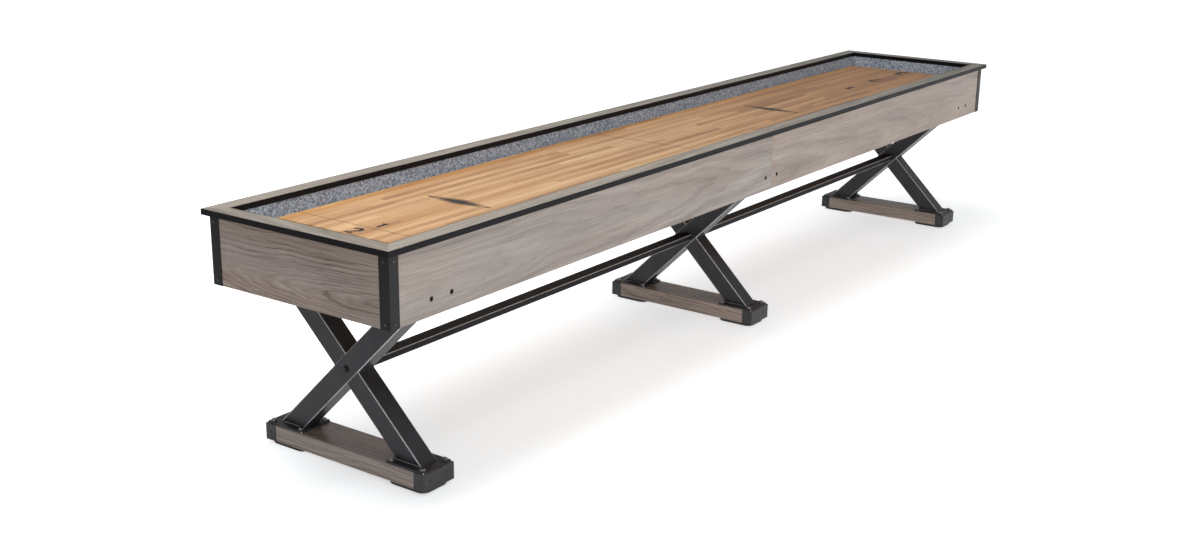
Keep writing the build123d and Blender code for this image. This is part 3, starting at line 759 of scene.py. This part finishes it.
bolt_low, bolt_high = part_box("stretcher_bolts")
BOLT_HEAD = 5 * MM
crossing_z = (bolt_low.z + bolt_high.z) / 2
end_places = [
    standing_on((side * (bolt_high.x - BOLT_HEAD), 0, crossing_z), (side, 0, 0)) for side in (-1, 1)
]
stretcher_bolt = hex_head_rings(10 * MM, BOLT_HEAD, 12.5 * MM, 1.2 * MM)
fasteners("stretcher_bolt_heads", "stretcher_bolts", stretcher_bolt, end_places, bolt_black)

# ---------------------------------------------------------------- climate adjuster rods

ROD_RADIUS = 6 * MM
ROD_POINTS = 24
THREAD_PITCH = 3.5 * MM
THREAD_DEPTH = 0.7 * MM
THREAD_STATIONS = 6  # rings per pitch
ROUND_END = 1.2 * MM
HEX_HALF = 22 * MM
HEX_EASE = 2.5 * MM


def threaded_rod(name):
    """A rod along Y with a screw thread, and a chamfered hexagon at its middle."""
    low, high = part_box(name)
    centre = (low + high) / 2
    half_run = (high.y - low.y) / 2
    apothem = min(high.z - centre.z, high.x - centre.x)
    angles = [k * math.tau / ROD_POINTS for k in range(ROD_POINTS)]

    def thread(along, a):
        turn = (along / THREAD_PITCH + a / math.tau) % 1.0
        ridge = min(1.0, max(0.0, 1.6 - 3.2 * abs(turn - 0.5)))
        end = min(1.0, (half_run - abs(along)) / ROUND_END)
        return (ROD_RADIUS - THREAD_DEPTH * (1 - ridge)) * (0.80 + 0.20 * end)

    def hexagon(along, a):
        ease = max(0.0, 1 - (HEX_HALF - abs(along)) / HEX_EASE)
        return min(hexagon_reach(apothem, a), apothem * (1.15 - 0.20 * ease))

    def ring(along, radius_at):
        reach = [radius_at(along, a) for a in angles]
        return [centre + Vector((r * math.sin(a), along, r * math.cos(a))) for r, a in zip(reach, angles)]

    steps = round((half_run - HEX_HALF) / THREAD_PITCH * THREAD_STATIONS)
    stations = [HEX_HALF + (half_run - HEX_HALF) * k / steps for k in range(steps + 1)]
    rings = [ring(-along, thread) for along in reversed(stations)]
    rings += [ring(share * HEX_HALF, hexagon) for share in (-1.0, -0.93, -0.86, 0.0, 0.86, 0.93, 1.0)]
    rings += [ring(along, thread) for along in stations]
    shape = Shape()
    shape.add_rings(rings)
    piece = add_piece(
        f"{name}_thread", shape.vertices, shape.faces, zinc, body=name, smooth=40.0
    )
    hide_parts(name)


for number in LEG_NUMBERS:
    threaded_rod(f"climate_adjuster_rod_{number}")

# ---------------------------------------------------------------- weld beads on the legs


def rounded_loop(half_u, half_v, corner, step):
    """Points and outward directions round a rectangle with round corners, evenly spaced."""
    corners = ((1, 1, 0), (-1, 1, 90), (-1, -1, 180), (1, -1, 270))
    outline = []
    for sign_u, sign_v, start in corners:
        for k in range(7):
            a = math.radians(start + 15 * k)
            u = sign_u * (half_u - corner) + corner * math.cos(a)
            v = sign_v * (half_v - corner) + corner * math.sin(a)
            outline.append((Vector((u, v)), Vector((math.cos(a), math.sin(a)))))
    loop = []
    for (p, n), (q, m) in zip(outline, outline[1:] + outline[:1]):
        pieces = max(1, round((q - p).length / step))
        loop += [(p.lerp(q, k / pieces), n.lerp(m, k / pieces).normalized()) for k in range(pieces)]
    return loop


def weld_bead(shape, place, half_u, half_v, radius, seed, flush=1.0):
    """A rippled bead round a tube, in the plane of place; flush thins it on the faces across u."""
    rings = []
    travelled = 0.0
    before = None
    for point, out in rounded_loop(half_u, half_v, TUBE_CORNER, 0.9 * MM):
        if before is not None:
            travelled += (point - before).length
        before = point
        ripple = 1 + 0.10 * math.sin(travelled * math.tau / (3.4 * MM))
        uneven = 1 + 0.16 * noise.noise(Vector((point.x * 60, point.y * 60, seed)))
        thick = radius * ripple * uneven * (1 + (flush - 1) * abs(out.x) ** 3)
        ring = []
        for k in range(8):
            a = k * math.tau / 8
            spot = point + out * (thick * math.cos(a))
            ring.append(place @ Vector((spot.x, spot.y, thick * 0.8 * math.sin(a))))
        rings.append(ring)
    shape.add_rings(rings, closed_path=True)


crossing_reach = TUBE_HALF + 0.4 * MM
for number, leg_x in zip(LEG_NUMBERS, LEG_X):
    welds = Shape()
    for lean in (-1, 1):
        foot = Matrix.Translation((leg_x, -lean * LEG_SPREAD / 2, TUBE_FOOT + 0.5 * MM))
        weld_bead(welds, foot, TUBE_HALF, TUBE_CUT_HALF, 2.4 * MM, number + lean)
        head = Matrix.Translation((leg_x, lean * LEG_SPREAD / 2, TUBE_HEAD - 0.5 * MM))
        weld_bead(welds, head, TUBE_HALF, TUBE_CUT_HALF, 2.4 * MM, number + lean * 2)
    cut_direction = Vector((0, math.cos(TUBE_SLOPE), math.sin(TUBE_SLOPE)))
    long_normal = Vector((0, math.sin(TUBE_SLOPE), math.cos(TUBE_SLOPE)))
    crossing = Vector((leg_x, 0, (TUBE_FOOT + TUBE_HEAD) / 2))
    for side in (-1, 1):
        on_face = crossing + cut_direction * (side * crossing_reach / cut_direction.dot(long_normal))
        joint_place = standing_on(on_face, long_normal * side)
        weld_bead(welds, joint_place, TUBE_HALF, TUBE_HALF, 2.0 * MM, number + side * 5, flush=0.3)
    add_piece(f"leg_{number}_weld_beads", welds.vertices, welds.faces, leg_coat, smooth=60.0)

# ---------------------------------------------------------------- felt over the walls and gutters

FELT_THICK = 1.5 * MM
FELT_LIFT = 0.05 * MM
COVE = 5 * MM
FELT_GAP = 0.6 * MM  # left free beside the playfield
GUTTER_Y = WALL_FACE_Y - playfield_high.y - FELT_GAP
GUTTER_X = WALL_FACE_X - playfield_high.x - FELT_GAP
MITRE = GUTTER_Y  # how far the corners are cut at 45 degrees


def felt_profile(reach):
    """Distance from the wall and height of the felt's outline, from its top edge round to its underside."""
    skin, floor = FELT_LIFT + FELT_THICK, GUTTER_TOP + FELT_LIFT + FELT_THICK
    outline = [
        (FELT_LIFT, WALL_TOP - 0.6 * MM),
        (skin * 0.7, WALL_TOP - 0.7 * MM),
        (skin, WALL_TOP - 1.6 * MM),
    ]
    rows = 9
    top, bottom = WALL_TOP - 4 * MM, floor + COVE
    outline += [(skin, top + (bottom - top) * k / rows) for k in range(rows + 1)]
    for k in range(1, 6):
        a = math.radians(90 * k / 6)
        outline.append((skin + COVE * (1 - math.cos(a)), floor + COVE * (1 - math.sin(a))))
    rows = max(4, round((reach - skin - COVE) / (9 * MM)))
    outline += [(skin + COVE + (reach - skin - COVE) * k / rows, floor) for k in range(rows + 1)]
    outline += [(reach + 0.3 * MM, floor - 0.7 * MM), (reach, GUTTER_TOP + FELT_LIFT)]
    outline += [(skin + COVE, GUTTER_TOP + FELT_LIFT), (FELT_LIFT, GUTTER_TOP + COVE)]
    return outline


def felt_wall(name, axis, side, half_run, wall_face, reach):
    """Felt along an axis, glued to one wall and its gutter floor, mitred into the neighbouring felt."""
    outline = felt_profile(reach)
    steps = round(2 * half_run / (14 * MM))
    rings = []
    for i in range(steps + 1):
        share = -1 + 2 * i / steps
        ring = []
        for distance, height in outline:
            run = share * (half_run - min(distance, MITRE) - 0.1 * MM)
            across = side * (wall_face - distance)
            where = Vector((run, across, height)) * 16
            lift = FELT_THICK * 0.22 * noise.noise(where) if distance > FELT_THICK * 0.9 else 0.0
            if height > GUTTER_TOP + FELT_THICK + COVE:
                across -= side * lift
            elif height > GUTTER_TOP + FELT_THICK:
                height += lift
            ring.append(Vector((run, across, height) if axis == "x" else (across, run, height)))
        rings.append(ring)
    shape = Shape()
    shape.add_rings(rings)
    piece = add_piece(name, shape.vertices, shape.faces, felt_cloth, smooth=50.0)


for side, wall in ((-1, "front"), (1, "back")):
    felt_wall(
        f"felt_{wall}", "x", side, WALL_FACE_X, WALL_FACE_Y, GUTTER_Y,
    )
for side, wall in ((-1, "left"), (1, "right")):
    felt_wall(
        f"felt_{wall}", "y", side, WALL_FACE_Y, WALL_FACE_X, GUTTER_X,
    )

# ---------------------------------------------------------------- markings printed on the playfield

INK_THICK = 0.12 * MM
PRINT_HALF_Y = playfield_high.y - 4 * MM


def ink_prism(shape, outline):
    """A flat ink shape on the playfield, from its outline."""
    rings = [[Vector((x, y, PLAYFIELD_TOP + z)) for x, y in outline] for z in (-INK_THICK, INK_THICK)]
    shape.add_rings(rings)


def ink_bar(shape, x0, y0, x1, y1, width):
    """A straight stroke between two points, with its ends tapered a little."""
    start, end = Vector((x0, y0)), Vector((x1, y1))
    along = (end - start).normalized()
    side = Vector((-along.y, along.x)) * (width / 2)
    ease = along * width * 0.4
    corners = (
        start - side * 0.6, start + ease - side, end - ease - side, end - side * 0.6,
        end + side * 0.6, end - ease + side, start + ease + side, start + side * 0.6,
    )
    ink_prism(shape, [tuple(c) for c in corners])


LINES = ((-1.858, 2.6 * MM), (-0.310, 3.4 * MM))  # place along X and width

lines = Shape()
for x, width in LINES:
    ink_bar(lines, x, -PRINT_HALF_Y, x, PRINT_HALF_Y, width)
add_piece("playfield_lines", lines.vertices, lines.faces, line_ink)


def stroke_ribbon(shape, points, width):
    """A pen stroke of even width along a line of points."""
    left, right = [], []
    for i, point in enumerate(points):
        before, after = points[max(0, i - 1)], points[min(len(points) - 1, i + 1)]
        along = (after - before).normalized()
        side = Vector((-along.y, along.x)) * (width / 2)
        left.append(point + side)
        right.append(point - side)
    for i in range(len(points) - 1):
        ink_prism(shape, [tuple(p) for p in (left[i], left[i + 1], right[i + 1], right[i])])


def arc(centre, radius_x, radius_y, start, end, steps=18):
    """Points along an elliptical arc, between two angles in degrees."""
    angles = [math.radians(start + (end - start) * k / steps) for k in range(steps + 1)]
    return [Vector((centre[0] + radius_x * math.cos(a), centre[1] + radius_y * math.sin(a))) for a in angles]


STROKE_SHARE = 0.26
# Figures drawn in a box 0.6 wide and 1 high, as strokes
FIGURES = {
    1: [[Vector((-0.2, 0.28)), Vector((0.03, 0.5)), Vector((0.03, -0.5))]],
    2: [arc((0, 0.22), 0.27, 0.28, 165, -38) + [Vector((-0.28, -0.46)), Vector((0.30, -0.46))]],
    3: [arc((0, 0.24), 0.24, 0.26, 150, -85), arc((0, -0.24), 0.28, 0.26, 85, -150)],
}


def draw_figure(shape, figure, x, y, size, facing):
    """A zone number whose top points along +X or -X."""
    for stroke in FIGURES[figure]:
        placed = [Vector((x + facing * p.y * size, y - facing * p.x * size)) for p in stroke]
        stroke_ribbon(shape, placed, size * STROKE_SHARE)


# Figure, place along X and Y, height, and which way along X its top points
ZONE_NUMBERS = (
    (1, -1.818, -0.050, 0.046, 1),
    (2, -1.910, -0.027, 0.054, 1),
    (1, 1.310, -0.039, 0.070, -1),
    (2, 1.589, -0.039, 0.074, -1),
    (3, 1.868, -0.046, 0.078, -1),
)

numbers = Shape()
for figure, x, y, size, facing in ZONE_NUMBERS:
    draw_figure(numbers, figure, x, y, size, facing)
add_piece("playfield_numbers", numbers.vertices, numbers.faces, dark_ink)


ORNAMENT_HALF_LENGTH = 0.131
ORNAMENT_HALF_WIDTH = 0.028
BORDER_WIDTH = 5 * MM
CORE_SHARE = 0.74


def ornament(name, x, y):
    """A slim diamond inlay across the board: a dark core inside a thin border."""
    shape = Shape()
    long, wide = ORNAMENT_HALF_LENGTH, ORNAMENT_HALF_WIDTH
    tips = [(0, long), (wide, 0), (0, -long), (-wide, 0)]
    for (ax, ay), (bx, by) in zip(tips, tips[1:] + tips[:1]):
        ink_bar(shape, x + ax, y + ay, x + bx, y + by, BORDER_WIDTH)
    ink_prism(shape, [(x + tip_x * CORE_SHARE, y + tip_y * CORE_SHARE) for tip_x, tip_y in tips])
    add_piece(name, shape.vertices, shape.faces, dark_ink)


ornament("playfield_ornament_left", -1.461, -0.041)
ornament("playfield_ornament_right", 0.593, -0.018)

# ---------------------------------------------------------------- camera, floor and light

CAMERA_PLACE = (-4.83295, -2.97076, 1.85671)
CAMERA_AZIMUTH = math.radians(-54.76)
CAMERA_ELEVATION = math.radians(16.58)
CAMERA_ROLL = math.radians(-0.75)

back = Vector((
    math.sin(CAMERA_AZIMUTH) * math.cos(CAMERA_ELEVATION),
    -math.cos(CAMERA_AZIMUTH) * math.cos(CAMERA_ELEVATION),
    math.sin(CAMERA_ELEVATION),
))
level_right = (-back).cross(Vector((0, 0, 1))).normalized()
level_down = (-back).cross(level_right)
right = level_right * math.cos(CAMERA_ROLL) + level_down * math.sin(CAMERA_ROLL)
up = level_right * math.sin(CAMERA_ROLL) - level_down * math.cos(CAMERA_ROLL)
camera_data = bpy.data.cameras.new("camera")
camera_data.sensor_width = 36.0
camera_data.lens = 43.6
camera_data.clip_end = 200.0
camera = bpy.data.objects.new("camera", camera_data)
camera.matrix_world = Matrix.Translation(CAMERA_PLACE) @ Matrix((right, up, back)).transposed().to_4x4()
bpy.context.scene.collection.objects.link(camera)
bpy.context.scene.camera = camera
bpy.context.scene.view_settings.view_transform = "Standard"

FLOOR_HALF = 60.0
FLOOR_DROP = 0.4 * MM
floor_mesh = bpy.data.meshes.new("floor")
floor_corners = [(x * FLOOR_HALF, y * FLOOR_HALF, 0) for x, y in ((-1, -1), (1, -1), (1, 1), (-1, 1))]
floor_mesh.from_pydata(floor_corners, [], [(0, 1, 2, 3)])
floor = bpy.data.objects.new("floor", floor_mesh)
floor.location.z = -FLOOR_DROP
bpy.context.scene.collection.objects.link(floor)


def pale_floor(name):
    """Matt paper that glows: near white to the eye, with a soft shadow under the table that is partly cast
    and partly painted shadow, and painted light behind the table. As a light on the table it is dimmer to
    the left, and brighter in front of it and under it."""
    g = Graph(name)
    grain = g.noise(g.place, scale=3, detail=3)
    x, y, _ = g.axes()
    eye = g.tree.nodes.new("ShaderNodeLightPath").outputs["Is Camera Ray"]
    unseen = g.math("SUBTRACT", 1.0, eye)

    def outside(axis, half):
        return g.math("MAXIMUM", g.math("SUBTRACT", g.math("ABSOLUTE", axis), half), 0.0)

    # What the camera sees, by the distance from a strip under the table. The glow is weaker near the strip,
    # a painted shadow on top of the cast one, and stronger behind the table, painted light where shade would
    # fall.
    aside_x, aside_y = outside(x, 2.05), outside(y, 0.25)
    aside = g.math("ADD", g.math("MULTIPLY", aside_x, aside_x), g.math("MULTIPLY", aside_y, aside_y))
    aside = g.math("SQRT", aside)
    painted_shadow_glow = g.span(aside, 0.0, 0.75, 0.17, 0.38, smooth=True)
    behind = g.span(y, -0.05, 0.35, 0.38, 0.55, smooth=True)
    seen_glow = g.math("ADD", painted_shadow_glow, behind)
    paper = g.ramp(grain, ((0.3, (0.90, 0.90, 0.90)), (0.7, (0.92, 0.92, 0.92))))

    # What lights the table
    sweep_left = g.span(x, -3.3, -2.3, 0.40, 1.0)
    sweep_front = g.span(y, -1.6, -0.5, 0.42, 0.0)
    under = g.span(g.math("ABSOLUTE", y), 0.32, 0.50, 0.20, 0.0)
    under = g.math("MULTIPLY", under, g.span(x, -1.8, -0.9))
    cast_glow = g.math("MULTIPLY_ADD", sweep_left, 0.38, g.math("ADD", sweep_front, under))
    dimmed = g.mix(sweep_left, (0.50, 0.50, 0.50), paper)
    return g.finish(
        Base_Color=g.mix(unseen, paper, dimmed),
        Roughness=0.9,
        Specular_IOR_Level=0.0,
        # Painted shadow tint: the glow the camera sees is bluer near the table
        Emission_Color=g.mix(g.span(aside, 0.0, 0.8), (0.94, 0.975, 1.0), (0.99, 0.995, 1.0)),
        Emission_Strength=g.mix(eye, g.grey(cast_glow), g.grey(seen_glow)),
    )


floor_mesh.materials.append(pale_floor("pale_floor"))


def soft_box(name, place, aim, size, power):
    data = bpy.data.lights.new(name, "AREA")
    data.shape = "RECTANGLE"
    data.size, data.size_y = size
    data.energy = power
    light = bpy.data.objects.new(name, data)
    light.matrix_world = standing_on(place, Vector(place) - Vector(aim))
    bpy.context.scene.collection.objects.link(light)


soft_box("overhead_soft_box", (-1.2, 0.35, 3.2), (-1.2, 0.35, 0.0), (5.4, 2.0), 42)
soft_box("left_soft_box", (-2.1, 0.0, 2.8), (-2.0, 0.0, 0.0), (1.2, 0.8), 24)
soft_box("front_strip", (-1.2, -1.7, 3.2), (-0.8, 0.0, 0.5), (3.0, 0.1), 8)
soft_box("end_strip", (3.6, 0.1, 3.4), (-0.5, 0.0, 0.3), (0.4, 0.8), 6)


def studio_world():
    """A pale room, white to the eye. As a light it is brighter behind the far end, in front and to the
    left."""
    world = bpy.data.worlds.new("studio")
    world.use_nodes = True
    bpy.context.scene.world = world
    tree = world.node_tree
    nodes, links = tree.nodes, tree.links
    shader = nodes["Background"]
    shader.inputs["Color"].default_value = (1, 1, 1, 1)
    direction = nodes.new("ShaderNodeSeparateXYZ")
    links.new(nodes.new("ShaderNodeTexCoord").outputs["Generated"], direction.inputs[0])

    def graded(socket, low, high, at_low, at_high):
        node = nodes.new("ShaderNodeMapRange")
        node.interpolation_type = "SMOOTHSTEP"
        links.new(socket, node.inputs[0])
        for k, value in enumerate((low, high, at_low, at_high), start=1):
            node.inputs[k].default_value = value
        return node.outputs[0]

    def combined(operation, a, b):
        node = nodes.new("ShaderNodeMath")
        node.operation = operation
        for socket, value in zip(node.inputs, (a, b)):
            if isinstance(value, bpy.types.NodeSocket):
                links.new(value, socket)
            else:
                socket.default_value = value
        return node.outputs[0]

    x, y, z = direction.outputs
    lift = graded(z, 0.12, 0.32, 0.0, 1.0)
    low = graded(z, 0.45, 0.85, 1.0, 0.45)
    away = combined("ADD", combined("MULTIPLY", x, 0.82), combined("MULTIPLY", y, 0.57))
    window = combined("MULTIPLY", combined("MULTIPLY", lift, low), graded(away, 0.1, 0.8, 0.0, 0.40))
    front = combined("MULTIPLY", graded(y, 0.15, -0.7, 0.0, 0.47), low)
    left = graded(x, -0.95, -0.3, 1.5, 1.0)
    light = combined("MULTIPLY", combined("ADD", 0.12, combined("ADD", window, front)), left)
    seen = nodes.new("ShaderNodeLightPath").outputs["Is Camera Ray"]
    cast = combined("MULTIPLY", light, combined("SUBTRACT", 1.0, seen))
    links.new(combined("ADD", seen, cast), shader.inputs["Strength"])


studio_world()
